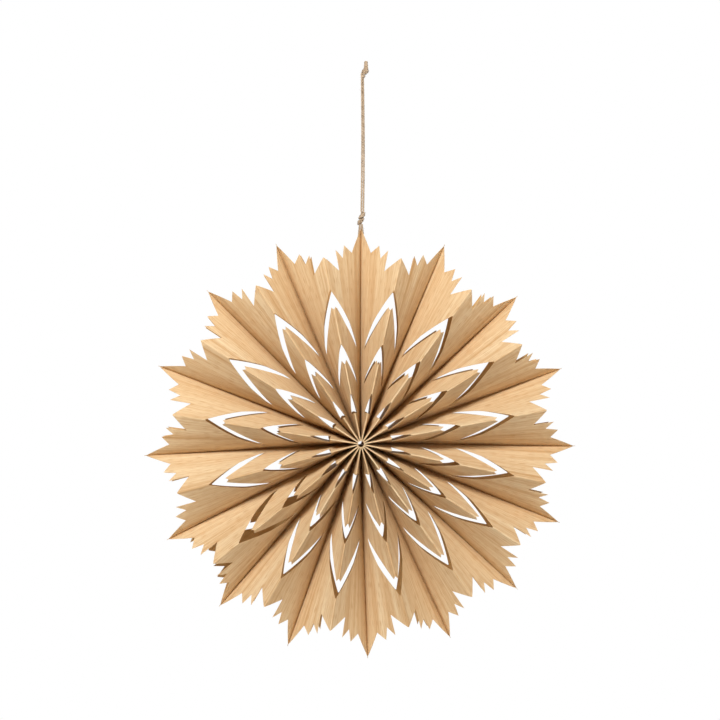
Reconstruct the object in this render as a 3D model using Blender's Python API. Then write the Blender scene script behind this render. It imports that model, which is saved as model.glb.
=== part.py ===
"""Paper snowflake star: cut paper pockets glued side by side, fanned open to a full turn, hung on twine.

Metres, +Z up. The origin is the hanging point, between the twine's two strands just under the upper knot.
The star faces -Y, and its pockets are counted clockwise from the hanging tip as seen from that side.
"""

import math

import bmesh
import bpy
from mathutils import Matrix, Vector
from mathutils.geometry import delaunay_2d_cdt

# How far each pocket stands open, in degrees, scaled together so that they close a full turn
OPENINGS = (
    22.9, 23.9, 22.7, 21.1, 20.9, 21.1, 22.2, 22.8,
    21.7, 21.1, 22.6, 23.3, 24.3, 24.0, 22.2, 23.2,
)
HANGING_TURN = math.radians(0.3)  # the star hangs turned this far clockwise, as its weight settles

# Paper pocket
POCKET_LENGTH = 0.200
POCKET_HALF_WIDTH = 0.050
GLUED_HALF_WIDTH = 0.002  # band along the middle of a side, flat against the next pocket
PAPER = 0.0002
CREASE_GAP = 0.0002  # air left inside a pressed crease
GLUE_SPACE = 0.0002  # between the papers of two pockets
LEAST_CREASE_REACH = 0.004  # how near the glued band a crease may come on a pocket opened too far
STEM_STEPS = 8  # faces along the glued band

# Cut pattern on half a side, as (share of the length from the hub, share across from glued band to crease)
RIM_SHARES = (
    (0.990, 0.00),
    (0.876, 0.24),
    (0.910, 0.43),
    (0.850, 0.49),
    (0.887, 0.66),
    (0.790, 0.63),
    (0.850, 1.00),
)
OUTER_SLOT_SHARES = (
    (0.700, 1.00),
    (0.557, 0.48),
    (0.467, 0.24),
    (0.425, 0.18),
    (0.540, 0.64),
    (0.622, 0.94),
    (0.610, 1.00),
)
INNER_SLOT_SHARES = (
    (0.447, 1.00),
    (0.423, 0.87),
    (0.305, 0.36),
    (0.276, 0.27),
    (0.262, 0.26),
    (0.317, 0.58),
    (0.375, 0.88),
    (0.356, 1.00),
)
HUB_SLOT_SHARES = (
    (0.220, 1.00),
    (0.130, 0.56),
    (0.132, 1.00),
)

# Adhesive film between two pockets: a strip up the middle on a bar along the hub
FILM = 0.0001
FILM_STRIP_HALF_WIDTH = 0.0015
FILM_BAR_HEIGHT = 0.004
FILM_BAR_INSET = 0.006  # from the end of the bar to the crease
FILM_HUB_CLEARANCE = 0.0005
FILM_HOLE_CLEARANCE = 0.004

# Twine
TWINE_DIAMETER = 0.0018
STRAND_SPACING = 0.0019
STRAND_DROP = 0.1265  # from the hanging point to the lower knot
STRAND_SWAY = 0.0006
STRAND_TWIST = math.radians(45)  # the pair turns this far on its way down
STRAND_POINTS = 30
KNOT_GAP = 0.0003
UPPER_KNOT_WIDTH = 0.0072
UPPER_KNOT_HEIGHT = 0.0066
UPPER_KNOT_LIFT = 0.0014  # from the hanging point to the knot
UPPER_KNOT_SIDE = 0.0026  # the knot sits this far off the strands
LOWER_KNOT_WIDTH = 0.0060
LOWER_KNOT_HEIGHT = 0.0130
LOWER_KNOT_SIDE = -0.0010
LOWER_KNOT_LEAN = math.radians(16)
TAIL_LENGTH = 0.0062
TAIL_SIDE = 0.0008  # from the middle of the knot to the middle between the tails
TAIL_SPLAY = math.radians(3)
STAR_SIDE = -0.0024  # the hub hangs this far off the hanging point
TIP_BELOW_KNOT = 0.0014
HOLE_BELOW_TIP = 0.0095
TWINE_HOLE_RADIUS = 0.0016
LOOP_HALF_WIDTH = 0.0019
LOOP_TOP_HALF_WIDTH = 0.0014
LOOP_TURN_POINTS = 8
LOOP_SIDE_POINTS = 4

POCKET_COUNT = len(OPENINGS)
HALF_ANGLES = [math.pi * opening / sum(OPENINGS) for opening in OPENINGS]
PANEL_WIDTH = POCKET_HALF_WIDTH - GLUED_HALF_WIDTH
CREASE_HALF = (PAPER + CREASE_GAP) / 2
SIDE_INSET = (PAPER + GLUE_SPACE) / 2
NARROWEST = min(HALF_ANGLES)
HUB_START = (CREASE_HALF + SIDE_INSET * math.cos(NARROWEST)) / math.sin(NARROWEST)
TIP_RADIUS = HUB_START + POCKET_LENGTH
LOWER_KNOT_TOP = -STRAND_DROP - KNOT_GAP
LOWER_KNOT_FOOT = LOWER_KNOT_TOP - LOWER_KNOT_HEIGHT
TIP_Z = LOWER_KNOT_FOOT - TIP_BELOW_KNOT
HUB_Z = TIP_Z - TIP_RADIUS
HOLE_REACH = TIP_RADIUS - HOLE_BELOW_TIP
HOLE_X = STAR_SIDE + HOLE_REACH * math.sin(HANGING_TURN)
HOLE_Z = HUB_Z + HOLE_REACH * math.cos(HANGING_TURN)
FILM_END = HOLE_REACH - TWINE_HOLE_RADIUS - FILM_HOLE_CLEARANCE


def clear_scene():
    for item in list(bpy.data.objects):
        bpy.data.objects.remove(item)


def material(name, colour, roughness):
    made = bpy.data.materials.new(name)
    made.use_nodes = True
    shader = made.node_tree.nodes["Principled BSDF"]
    shader.inputs["Base Color"].default_value = (*colour, 1.0)
    shader.inputs["Roughness"].default_value = roughness
    shader.inputs["Metallic"].default_value = 0.0
    return made


def add_object(name, data, finish, parent=None, location=(0.0, 0.0, 0.0), turn=0.0):
    data.materials.append(finish)
    made = bpy.data.objects.new(name, data)
    bpy.context.scene.collection.objects.link(made)
    made.parent = parent
    made.location = location
    made.rotation_euler = (0.0, turn, 0.0)
    return made


def mesh_from(name, build):
    work = bmesh.new()
    build(work)
    bmesh.ops.recalc_face_normals(work, faces=work.faces)
    mesh = bpy.data.meshes.new(name)
    work.to_mesh(mesh)
    work.free()
    return mesh


def flat_panel():
    """Half a side laid flat: its outline as shares along and across, and the triangles that fill it."""
    shoulder = RIM_SHARES[0][0]
    band_edge = [(shoulder * step / STEM_STEPS, 0.0) for step in range(STEM_STEPS + 1)]
    slots = [*OUTER_SLOT_SHARES, *INNER_SLOT_SHARES, *HUB_SLOT_SHARES]
    outline = [*band_edge, *RIM_SHARES[1:], *slots, (0.0, 1.0)]
    flat = [Vector((along * POCKET_LENGTH, across * PANEL_WIDTH)) for along, across in outline]
    ring = [(i, (i + 1) % len(flat)) for i in range(len(flat))]
    filled = delaunay_2d_cdt(flat, ring, [], 1, 1e-9)
    triangles, sources = filled[2], filled[3]
    return outline, [[sources[corner][0] for corner in triangle] for triangle in triangles]


def side_point(half_angle, side, face, along, across):
    """A point of a side's middle surface, from the hub axis, with x across the pocket and z along it."""
    reach = HUB_START + along * POCKET_LENGTH
    band_x = reach * math.sin(half_angle) - SIDE_INSET * math.cos(half_angle)
    band_z = reach * math.cos(half_angle) + SIDE_INSET * math.sin(half_angle)
    run = (band_x - CREASE_HALF) / math.cos(half_angle)
    rise = math.sqrt(max(PANEL_WIDTH**2 - run**2, LEAST_CREASE_REACH**2))
    x = band_x - across * run * math.cos(half_angle)
    z = band_z + across * run * math.sin(half_angle)
    y = face * (GLUED_HALF_WIDTH + across * rise)
    return Vector((side * x, y, z))


def long_tip(half_angle, side):
    edge = side_point(half_angle, side, 1, 1.0, 0.0)
    return Vector((edge.x, 0.0, edge.z))


def fill_pocket(half_angle, origin):
    """A function that builds a pocket's middle surface about the given origin."""
    outline, triangles = flat_panel()
    count = len(outline)
    creases = [i for i in range(count) if outline[i][1] == 1.0]

    def build(work):
        corners = {}
        for side in (-1, 1):
            for face in (-1, 1):
                for i, (along, across) in enumerate(outline):
                    point = side_point(half_angle, side, face, along, across) - origin
                    corners[side, face, i] = work.verts.new(point)
            tip = work.verts.new(long_tip(half_angle, side) - origin)
            for face in (-1, 1):
                for triangle in triangles:
                    work.faces.new([corners[side, face, i] for i in triangle])
            front = [corners[side, -1, i] for i in range(STEM_STEPS + 1)]
            back = [corners[side, 1, i] for i in range(STEM_STEPS + 1)]
            for i in range(STEM_STEPS):
                work.faces.new((front[i], front[i + 1], back[i + 1], back[i]))
            work.faces.new((front[-1], tip, back[-1]))
        for face in (-1, 1):
            for near, far in zip(creases[::2], creases[1::2]):
                left = corners[-1, face, near], corners[-1, face, far]
                right = corners[1, face, far], corners[1, face, near]
                work.faces.new((*left, *right))
        hub_edge = [(-1, count - 1), (-1, 0), (1, 0), (1, count - 1)]
        for (face, i), (next_face, j) in zip(hub_edge, hub_edge[1:]):
            left = corners[-1, face, i], corners[-1, next_face, j]
            right = corners[1, next_face, j], corners[1, face, i]
            work.faces.new((*left, *right))

    return build


def thicken(item):
    solid = item.modifiers.new("paper thickness", "SOLIDIFY")
    solid.thickness = PAPER
    solid.offset = 0.0
    solid.use_even_offset = True


def cut(item, cutter):
    hole = item.modifiers.new("twine hole", "BOOLEAN")
    hole.operation = "DIFFERENCE"
    hole.object = cutter


def add_pockets(star, paper):
    """One pocket after another round the hub. Each turns about the hub end of the seam before it."""
    pockets = []
    turned = HANGING_TURN
    for number, half_angle in enumerate(HALF_ANGLES, 1):
        middle = turned + half_angle
        pivot = Vector((-HUB_START * math.sin(half_angle), 0.0, HUB_START * math.cos(half_angle)))
        if number == 1:
            pivot *= HOLE_REACH / HUB_START
        name = f"pocket_{number:02d}"
        mesh = mesh_from(name, fill_pocket(half_angle, pivot))
        place = Matrix.Rotation(middle, 4, "Y") @ pivot
        pocket = add_object(name, mesh, paper, star, place, middle)
        thicken(pocket)
        pockets.append(pocket)
        turned += 2 * half_angle
    return pockets


def fill_film(work):
    """Adhesive film in the plane of a glue line, with z along it from the hub axis."""
    foot = HUB_START + FILM_HUB_CLEARANCE
    bar_top = foot + FILM_BAR_HEIGHT
    bar_end = POCKET_HALF_WIDTH - FILM_BAR_INSET
    half = (
        (bar_end, foot),
        (bar_end, bar_top),
        (FILM_STRIP_HALF_WIDTH, bar_top),
        (FILM_STRIP_HALF_WIDTH, FILM_END),
    )
    outline = [*half, *((-y, z) for y, z in reversed(half))]
    face = work.faces.new([work.verts.new((-FILM / 2, y, z)) for y, z in outline])
    grown = bmesh.ops.extrude_face_region(work, geom=[face])
    moved = [item for item in grown["geom"] if isinstance(item, bmesh.types.BMVert)]
    bmesh.ops.translate(work, vec=(FILM, 0.0, 0.0), verts=moved)


def add_films(star, film):
    turned = HANGING_TURN
    for number, half_angle in enumerate(HALF_ANGLES, 1):
        turned += 2 * half_angle
        name = f"glue_seam_{number:02d}" if number < POCKET_COUNT else "closing_strip"
        turn = turned if number < POCKET_COUNT else HANGING_TURN
        add_object(name, mesh_from(name, fill_film), film, star, turn=turn)


def add_tube(name, points, finish):
    curve = bpy.data.curves.new(name, "CURVE")
    curve.dimensions = "3D"
    curve.bevel_depth = TWINE_DIAMETER / 2
    curve.bevel_resolution = 2
    curve.use_fill_caps = True
    spline = curve.splines.new("POLY")
    spline.points.add(len(points) - 1)
    for target, point in zip(spline.points, points):
        target.co = (*point, 1.0)
    return add_object(name, curve, finish)


def add_knot(name, width, height, centre, finish, lean=0.0):
    def build(work):
        size = Matrix.Diagonal((width / 2, width / 2, height / 2, 1.0))
        bmesh.ops.create_uvsphere(work, u_segments=14, v_segments=10, radius=1.0, matrix=size)

    mesh = mesh_from(name, build)
    mesh.shade_smooth()
    return add_object(name, mesh, finish, location=centre, turn=lean)


def strand_route(side):
    """One strand of the pair, which sways a little and turns on its way down."""
    off_knot = UPPER_KNOT_SIDE - side * STRAND_SPACING / 2 * math.cos(STRAND_TWIST) - TWINE_DIAMETER / 2
    knot_share = min(2 * abs(off_knot) / UPPER_KNOT_WIDTH, 1.0)
    knot_curve = 1 - math.sqrt(1 - knot_share**2)
    start = UPPER_KNOT_LIFT + knot_curve * UPPER_KNOT_HEIGHT / 2 - KNOT_GAP
    points = []
    for step in range(STRAND_POINTS):
        share = step / (STRAND_POINTS - 1)
        turn = STRAND_TWIST * (1 - share)
        x = STRAND_SWAY * math.sin(math.pi * share) + side * STRAND_SPACING / 2 * math.cos(turn)
        y = side * STRAND_SPACING / 2 * math.sin(turn)
        points.append(Vector((x, y, start - share * (start + STRAND_DROP))))
    return points


def loop_route():
    """Down one side of the paper tip, through its hole and up the other side."""
    foot = LOWER_KNOT_FOOT - KNOT_GAP
    turn_z = HOLE_Z + LOOP_HALF_WIDTH
    side = []
    for step in range(LOOP_SIDE_POINTS):
        share = step / LOOP_SIDE_POINTS
        ease = share * share * (3 - 2 * share)
        x = LOOP_TOP_HALF_WIDTH + ease * (LOOP_HALF_WIDTH - LOOP_TOP_HALF_WIDTH)
        side.append((x, foot + share * (turn_z - foot)))
    turn = []
    for step in range(LOOP_TURN_POINTS + 1):
        angle = math.pi * step / LOOP_TURN_POINTS
        turn.append((LOOP_HALF_WIDTH * math.cos(angle), turn_z - LOOP_HALF_WIDTH * math.sin(angle)))
    other = [(-x, z) for x, z in reversed(side)]
    return [Vector((HOLE_X + x, 0.0, z)) for x, z in (*side, *turn, *other)]


def tail_route(side):
    middle = UPPER_KNOT_SIDE + TAIL_SIDE
    start = Vector((middle + side * STRAND_SPACING / 2, 0.0, UPPER_KNOT_LIFT + UPPER_KNOT_HEIGHT))
    way = Vector((side * math.sin(TAIL_SPLAY), 0.0, math.cos(TAIL_SPLAY)))
    return [start + way * (TAIL_LENGTH * share) for share in (0.0, 0.5, 1.0)]


def add_twine(jute):
    upper = Vector((UPPER_KNOT_SIDE, 0.0, UPPER_KNOT_LIFT + UPPER_KNOT_HEIGHT / 2))
    lower = Vector((LOWER_KNOT_SIDE, 0.0, LOWER_KNOT_TOP - LOWER_KNOT_HEIGHT / 2))
    add_knot("upper_knot", UPPER_KNOT_WIDTH, UPPER_KNOT_HEIGHT, upper, jute)
    add_knot("lower_knot", LOWER_KNOT_WIDTH, LOWER_KNOT_HEIGHT, lower, jute, LOWER_KNOT_LEAN)
    add_tube("tip_loop", loop_route(), jute)
    for name, side in (("left", -1), ("right", 1)):
        add_tube(f"twine_strand_{name}", strand_route(side), jute)
        add_tube(f"twine_tail_{name}", tail_route(side), jute)


def add_hole_cutter():
    def build(work):
        along_x = Matrix.Rotation(math.pi / 2, 4, "Y")
        bmesh.ops.create_cone(
            work,
            cap_ends=True,
            segments=12,
            radius1=TWINE_HOLE_RADIUS,
            radius2=TWINE_HOLE_RADIUS,
            depth=4 * TWINE_HOLE_RADIUS,
            matrix=along_x,
        )

    made = bpy.data.objects.new("twine_hole_cutter", mesh_from("twine_hole_cutter", build))
    bpy.context.scene.collection.objects.link(made)
    made.location = (HOLE_X, 0.0, HOLE_Z)
    made.hide_render = True
    made.display_type = "WIRE"
    return made


def main():
    clear_scene()
    paper = material("wood_grain_paper", (0.77, 0.53, 0.28), 0.75)
    film = material("clear_adhesive", (0.80, 0.72, 0.58), 0.40)
    jute = material("jute_twine", (0.42, 0.29, 0.16), 0.90)
    star = bpy.data.objects.new("star_hub", None)
    bpy.context.scene.collection.objects.link(star)
    star.location = (STAR_SIDE, 0.0, HUB_Z)
    pockets = add_pockets(star, paper)
    add_films(star, film)
    add_twine(jute)
    hole = add_hole_cutter()
    cut(pockets[0], hole)
    cut(pockets[-1], hole)


main()
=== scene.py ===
# %% [markdown]
# # Paper snowflake star
# Flat paper pockets are cut through with teeth and chevron slots, glued side by side and fanned open to a
# full turn. This lesson dresses the CAD model of that star for a picture: cut paper, adhesive film and jute
# twine. The CAD model comes first as a fixed frame. Each piece made below rides on one of its bodies and
# stands for one of its nodes.

# %% Load the frame
import math

import bmesh
import bpy
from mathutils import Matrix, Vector
from mathutils.geometry import delaunay_2d_cdt


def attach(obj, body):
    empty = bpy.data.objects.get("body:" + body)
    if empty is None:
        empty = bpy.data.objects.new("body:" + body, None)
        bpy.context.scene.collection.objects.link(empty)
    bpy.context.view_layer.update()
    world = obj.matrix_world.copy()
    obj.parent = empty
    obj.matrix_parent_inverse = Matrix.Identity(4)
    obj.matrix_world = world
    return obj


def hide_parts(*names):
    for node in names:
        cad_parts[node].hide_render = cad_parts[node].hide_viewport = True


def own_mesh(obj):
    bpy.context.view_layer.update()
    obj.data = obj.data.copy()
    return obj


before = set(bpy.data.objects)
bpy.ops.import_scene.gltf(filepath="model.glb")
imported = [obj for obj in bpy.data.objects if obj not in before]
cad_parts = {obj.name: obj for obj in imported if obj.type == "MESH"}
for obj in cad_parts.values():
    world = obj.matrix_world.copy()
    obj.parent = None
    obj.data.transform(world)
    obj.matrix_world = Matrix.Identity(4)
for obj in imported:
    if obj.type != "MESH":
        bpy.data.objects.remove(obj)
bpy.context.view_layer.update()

# %% [markdown]
# ## Sizes
# A piece that stands for a CAD solid has to lie where the solid lies, so the star's main sizes are stated
# here again. They could be read back from the frame's boxes, but a rule needs its own numbers: how far each
# pocket stands open, how wide the paper is, and where the hub and the hanging hole are.

# %% Sizes of the star, in metres
# How far each pocket stands open, clockwise from the hanging tip, as parts of a full turn
OPENINGS = (
    22.9, 23.9, 22.7, 21.1, 20.9, 21.1, 22.2, 22.8,
    21.7, 21.1, 22.6, 23.3, 24.3, 24.0, 22.2, 23.2,
)
HANGING_TURN = math.radians(0.3)
POCKET_LENGTH = 0.200
POCKET_HALF_WIDTH = 0.050
GLUED_HALF_WIDTH = 0.002
CREASE_HALF = 0.0002
SIDE_INSET = 0.0002

HALF_ANGLES = [math.pi * opening / sum(OPENINGS) for opening in OPENINGS]
SEAM_TURNS = [HANGING_TURN]
for half_angle in HALF_ANGLES:
    SEAM_TURNS.append(SEAM_TURNS[-1] + 2 * half_angle)
MIDDLE_TURNS = [seam + half_angle for seam, half_angle in zip(SEAM_TURNS, HALF_ANGLES)]
PANEL_WIDTH = POCKET_HALF_WIDTH - GLUED_HALF_WIDTH
NARROWEST = min(HALF_ANGLES)
HUB_START = (CREASE_HALF + SIDE_INSET * math.cos(NARROWEST)) / math.sin(NARROWEST)
TIP_RADIUS = HUB_START + POCKET_LENGTH

STRAND_DROP = 0.1265
KNOT_GAP = 0.0003
LOWER_KNOT_HEIGHT = 0.0130
LOWER_KNOT_FOOT = -STRAND_DROP - KNOT_GAP - LOWER_KNOT_HEIGHT
TIP_DROP = 0.0014
TIP_Z = LOWER_KNOT_FOOT - TIP_DROP
HUB_Z = TIP_Z - TIP_RADIUS
STAR_SIDE = -0.0024  # the hub hangs this far off the hanging point
HUB = Vector((STAR_SIDE, 0.0, HUB_Z))
HOLE_INSET = 0.0095
HOLE_REACH = TIP_RADIUS - HOLE_INSET
HOLE_X = STAR_SIDE + HOLE_REACH * math.sin(HANGING_TURN)
HOLE_Z = HUB_Z + HOLE_REACH * math.cos(HANGING_TURN)
print("hub at", round(HUB_Z, 4), "and tips", round(TIP_RADIUS, 4), "from it")

# %% [markdown]
# ## Camera
# The picture was taken from nearly straight ahead with a long lens, so the far side of the star is hardly
# smaller than the near side. The camera stands a little left of the hub and a little above it, which is why
# one edge of each slot shows the inside of its pocket. It is turned, not shifted, until the hub falls on
# its pixel.

# %% Camera
IMAGE_SIZE = 720
SENSOR_MM = 36.0
CAMERA_DISTANCE = 2.900
CAMERA_LEFT = 0.066
CAMERA_ABOVE = 0.076
PIXELS_PER_METRE = 1067.0
HUB_PIXEL = (359.8, 442.7)


def add_object(name, data):
    """A new object with that data, in the scene."""
    made = bpy.data.objects.new(name, data)
    bpy.context.scene.collection.objects.link(made)
    return made


focal_pixels = PIXELS_PER_METRE * CAMERA_DISTANCE
camera_data = bpy.data.cameras.new("long_lens")
camera_data.sensor_width = SENSOR_MM
camera_data.lens = SENSOR_MM * focal_pixels / IMAGE_SIZE
camera = add_object("camera", camera_data)
camera.location = HUB + Vector((-CAMERA_LEFT, -CAMERA_DISTANCE, CAMERA_ABOVE))
hub_right = math.atan(CAMERA_LEFT / CAMERA_DISTANCE)
hub_down = math.atan(CAMERA_ABOVE / CAMERA_DISTANCE)
pixel_right = math.atan((HUB_PIXEL[0] - IMAGE_SIZE / 2) / focal_pixels)
pixel_down = math.atan((HUB_PIXEL[1] - IMAGE_SIZE / 2) / focal_pixels)
camera.rotation_euler = (math.pi / 2 + pixel_down - hub_down, 0.0, pixel_right - hub_right)
bpy.context.scene.camera = camera
print("lens in mm:", round(camera_data.lens, 1))

# %% [markdown]
# ## Helpers for node trees
# Materials and Geometry Nodes are built from the same bricks: a node, its settings and what goes into its
# sockets. One function does all three. A second one turns the hex colours of a paint chart to the linear
# values that shaders use, and a third starts a material.

# %% Node and colour helpers
MATH = "ShaderNodeMath"


def add_node(tree, kind, sockets=None, **settings):
    """Adds a node with its settings. A socket given for an input is linked, any other value is set on it."""
    made = tree.nodes.new(kind)
    for name, value in settings.items():
        setattr(made, name, value)
    for key, value in (sockets or {}).items():
        if isinstance(value, bpy.types.NodeSocket):
            tree.links.new(value, made.inputs[key])
        else:
            made.inputs[key].default_value = value
    return made


def linear(colour):
    """The linear colour, with alpha, of an sRGB hex value such as c8a070."""
    shares = [int(colour[i:i + 2], 16) / 255 for i in (0, 2, 4)]
    return (*(c / 12.92 if c <= 0.04045 else ((c + 0.055) / 1.055) ** 2.4 for c in shares), 1.0)


def new_material(name):
    """A material with its tree and its Principled shader."""
    made = bpy.data.materials.new(name)
    made.use_nodes = True
    return made, made.node_tree, made.node_tree.nodes["Principled BSDF"]


print("the grey 808080 is", round(linear("808080")[0], 3), "of full light")

# %% [markdown]
# ## Jute
# Jute twine is spun from long plant fibres, so it is matt, hairy and streaked along its plies, never one
# colour. The streaks could follow the object's axes, but they would run across the twine in the knots. They
# are read from a UV map instead, which the twine's own rule lays out in metres: round a ply and along it.

# %% Jute finish
JUTE_FIBRE_WIDTH = 0.00016  # coarser than a real fibre, so that it shows in the picture
JUTE_FIBRE_RUN = 0.0030
JUTE_PATCH = 0.0060
JUTE_PATCH_SHARE = 0.35

# Spun jute: brown plant fibre with straw-coloured streaks and a dusty, hairy surface
jute, tree, shader = new_material("spun_jute")
uv = add_node(tree, "ShaderNodeUVMap", uv_map="UVMap").outputs[0]
stretched = {0: uv, 1: (1 / JUTE_FIBRE_WIDTH, 1 / JUTE_FIBRE_RUN, 1.0)}
stretched = add_node(tree, "ShaderNodeVectorMath", stretched, operation="MULTIPLY").outputs[0]
fibre = {"Vector": stretched, "Scale": 1.0, "Detail": 3.0}
fibre = add_node(tree, "ShaderNodeTexNoise", fibre).outputs[0]
place = add_node(tree, "ShaderNodeTexCoord").outputs["Object"]
patch = {"Vector": place, "Scale": 1 / JUTE_PATCH, "Detail": 2.0}
patch = add_node(tree, "ShaderNodeTexNoise", patch).outputs[0]
both = add_node(tree, "ShaderNodeMix", {0: JUTE_PATCH_SHARE, 2: fibre, 3: patch}).outputs[0]
tones = add_node(tree, "ShaderNodeValToRGB", {0: both})
tones.color_ramp.elements[0].position = 0.32
tones.color_ramp.elements[0].color = linear("7c644e")
tones.color_ramp.elements[1].position = 0.70
tones.color_ramp.elements[1].color = linear("d4bfa8")
tones.color_ramp.elements.new(0.50).color = linear("b29a7d")
tree.links.new(tones.outputs[0], shader.inputs["Base Color"])
relief = {"Height": fibre, "Strength": 0.5, "Distance": 0.0001}
relief = add_node(tree, "ShaderNodeBump", relief).outputs[0]
tree.links.new(relief, shader.inputs["Normal"])
shader.inputs["Roughness"].default_value = 0.90
shader.inputs["Specular IOR Level"].default_value = 0.2
shader.inputs["Sheen Weight"].default_value = 0.25
print("made", jute.name)

# %% [markdown]
# ## Helpers for shape rules
# A shape that follows a rule is made by a Geometry Nodes tree with a named input for each size. The tree
# runs as a modifier on a simple mesh. The outcome is kept as a plain mesh, because a finished piece carries
# no modifiers.

# %% Rule helpers
def new_rule(name, sizes):
    """A Geometry Nodes tree with the named inputs, its input node and its output node."""
    tree = bpy.data.node_groups.new(name, "GeometryNodeTree")
    tree.interface.new_socket("Geometry", in_out="INPUT", socket_type="NodeSocketGeometry")
    tree.interface.new_socket("Geometry", in_out="OUTPUT", socket_type="NodeSocketGeometry")
    for size, value in sizes.items():
        kind = "NodeSocketInt" if isinstance(value, int) else "NodeSocketFloat"
        tree.interface.new_socket(size, in_out="INPUT", socket_type=kind).default_value = value
    return tree, tree.nodes.new("NodeGroupInput").outputs, tree.nodes.new("NodeGroupOutput").inputs


def plain_mesh(item):
    """The mesh that an object has once its modifiers are done."""
    graph = bpy.context.evaluated_depsgraph_get()
    done = item.evaluated_get(graph)
    return bpy.data.meshes.new_from_object(done, preserve_all_data_layers=True, depsgraph=graph)


def apply_rule(name, mesh, tree, sizes):
    """Runs a tree on a mesh and returns the result as an object with a plain mesh."""
    raw = add_object(f"{name}_raw", mesh)
    rule = raw.modifiers.new(tree.name, "NODES")
    rule.node_group = tree
    for item in tree.interface.items_tree:
        if item.in_out == "INPUT" and item.name in sizes:
            rule[item.identifier] = sizes[item.name]
    made = add_object(name, plain_mesh(raw))
    bpy.data.objects.remove(raw)
    return made


print("shape rules run from", new_rule.__name__, "to", apply_rule.__name__)

# %% [markdown]
# ## Twine
# Each strand is a few plies laid round each other, with loose hairs standing off. A plain tube would look
# like wire. A node rule takes the strand's route, copies it once for each ply, winds the copies round it as
# helices, gives them a round section, and sets thin bent hairs along the way. The same rule serves strands,
# knots, loop and ends.

# %% Sizes of the twine
TWINE_DIAMETER = 0.0018
PLY_COUNT = 3
PLY_RADIUS = 0.00048
PLY_SIDES = 8
PLY_LAY = 0.0075  # length of one full turn of a ply
ROUTE_STEP = 0.00030
HAIRS_PER_METRE = 420.0
HAIR_LENGTH = 0.0028
HAIR_RADIUS = 0.000035
SHORTEST_HAIR = 0.35  # of the full length

TWINE_SIZES = {
    "Plies": PLY_COUNT,
    "Ply Radius": PLY_RADIUS,
    "Ply Offset": TWINE_DIAMETER / 2 - PLY_RADIUS,
    "Lay": PLY_LAY,
    "Step": ROUTE_STEP,
    "Hairs per Metre": HAIRS_PER_METRE,
    "Hair Length": HAIR_LENGTH,
    "Hair Radius": HAIR_RADIUS,
    "Seed": 1,
}
print("twine of", PLY_COUNT, "plies,", round(1000 * TWINE_DIAMETER, 1), "mm thick")

# %% Plies
def wind_plies(tree, given, route, walked):
    """Copies of the route, each wound round it from its own starting angle."""
    copies = {"Geometry": route, "Amount": given["Plies"]}
    plies = add_node(tree, "GeometryNodeDuplicateElements", copies, domain="SPLINE")
    start = {0: plies.outputs[1], 1: given["Plies"]}
    start = add_node(tree, MATH, start, operation="DIVIDE").outputs[0]
    turns = add_node(tree, MATH, {0: walked, 1: given["Lay"]}, operation="DIVIDE").outputs[0]
    turn = add_node(tree, MATH, {0: start, 1: turns}, operation="ADD").outputs[0]
    angle = add_node(tree, MATH, {0: turn, 1: math.tau}, operation="MULTIPLY").outputs[0]
    tangent = add_node(tree, "GeometryNodeInputTangent").outputs[0]
    normal = add_node(tree, "GeometryNodeInputNormal").outputs[0]
    round_it = {"Vector": normal, "Axis": tangent, "Angle": angle}
    outward = add_node(tree, "ShaderNodeVectorRotate", round_it, rotation_type="AXIS_ANGLE").outputs[0]
    offset = {0: outward, "Scale": given["Ply Offset"]}
    offset = add_node(tree, "ShaderNodeVectorMath", offset, operation="SCALE").outputs[0]
    wound = {"Geometry": plies.outputs[0], "Offset": offset}
    return add_node(tree, "GeometryNodeSetPosition", wound).outputs[0]


def ply_tubes(tree, given, wound, walked):
    """Tubes along the wound plies, with a UV map in metres round them and along them."""
    along = add_node(tree, "GeometryNodeCaptureAttribute", domain="POINT")
    along.capture_items.new("FLOAT", "Along")
    tree.links.new(wound, along.inputs["Geometry"])
    tree.links.new(walked, along.inputs["Along"])
    ring = {"Resolution": PLY_SIDES, "Radius": given["Ply Radius"]}
    ring = add_node(tree, "GeometryNodeCurvePrimitiveCircle", ring).outputs[0]
    share = add_node(tree, "GeometryNodeSplineParameter").outputs["Factor"]
    half_round = add_node(tree, MATH, {0: share, 1: 0.5}, operation="PINGPONG").outputs[0]
    around = add_node(tree, "GeometryNodeCaptureAttribute", domain="POINT")
    around.capture_items.new("FLOAT", "Around")
    tree.links.new(ring, around.inputs["Geometry"])
    tree.links.new(half_round, around.inputs["Around"])
    tube = {"Curve": along.outputs["Geometry"], "Profile Curve": around.outputs["Geometry"]}
    tube = add_node(tree, "GeometryNodeCurveToMesh", {**tube, "Fill Caps": True}).outputs[0]
    girth = {0: given["Ply Radius"], 1: math.tau}
    girth = add_node(tree, MATH, girth, operation="MULTIPLY").outputs[0]
    across = {0: around.outputs["Around"], 1: girth}
    across = add_node(tree, MATH, across, operation="MULTIPLY").outputs[0]
    chart = {"X": across, "Y": along.outputs["Along"]}
    chart = add_node(tree, "ShaderNodeCombineXYZ", chart).outputs[0]
    mapped = {"Geometry": tube, "Name": "UVMap", "Value": chart}
    kind = {"data_type": "FLOAT2", "domain": "CORNER"}
    return add_node(tree, "GeometryNodeStoreNamedAttribute", mapped, **kind).outputs[0]


print("a ply turns once in", round(1000 * PLY_LAY, 1), "mm")

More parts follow.
